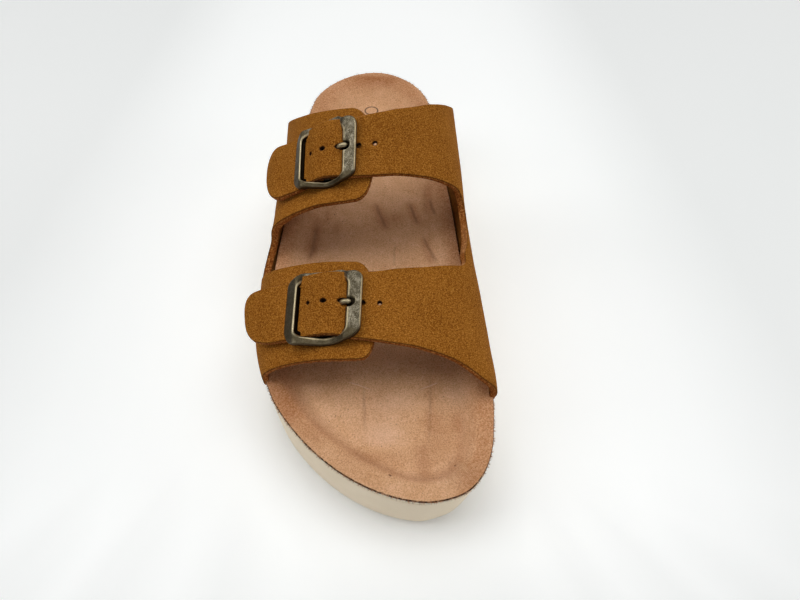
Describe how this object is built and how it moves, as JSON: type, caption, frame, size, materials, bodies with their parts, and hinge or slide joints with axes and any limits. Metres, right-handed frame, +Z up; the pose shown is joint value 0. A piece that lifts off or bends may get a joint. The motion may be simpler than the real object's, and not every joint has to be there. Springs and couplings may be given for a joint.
{
  "type": "platform sandal",
  "caption": "Right-foot slide sandal: buckled suede straps with cut-outs at the sides over a contoured suede footbed on a thick cream platform sole, open at toe and heel.",
  "frame": {"origin": "on the floor, under the middle of the shoe's length and width", "axes": "+Z up, +Y from toe to heel along the shoe, +X towards the medial (inner) side of the foot"},
  "size_m": [0.1076, 0.267, 0.1047],
  "materials": {
    "cream_foam": "smooth matte moulded foam",
    "bed_suede": "pinkish tan suede, fine nap",
    "tan_suede": "ochre tan suede with raw cut edges",
    "aged_brass": "antique brass with bright worn edges"
  },
  "bodies": {
    "root": {"platform_sole": "cream_foam", "footbed": "bed_suede", "upper_medial": "tan_suede", "upper_lateral": "tan_suede", "buckle_rear_frame": "aged_brass", "buckle_rear_prong": "aged_brass", "buckle_front_frame": "aged_brass", "buckle_front_prong": "aged_brass"}
  },
  "joints": []
}
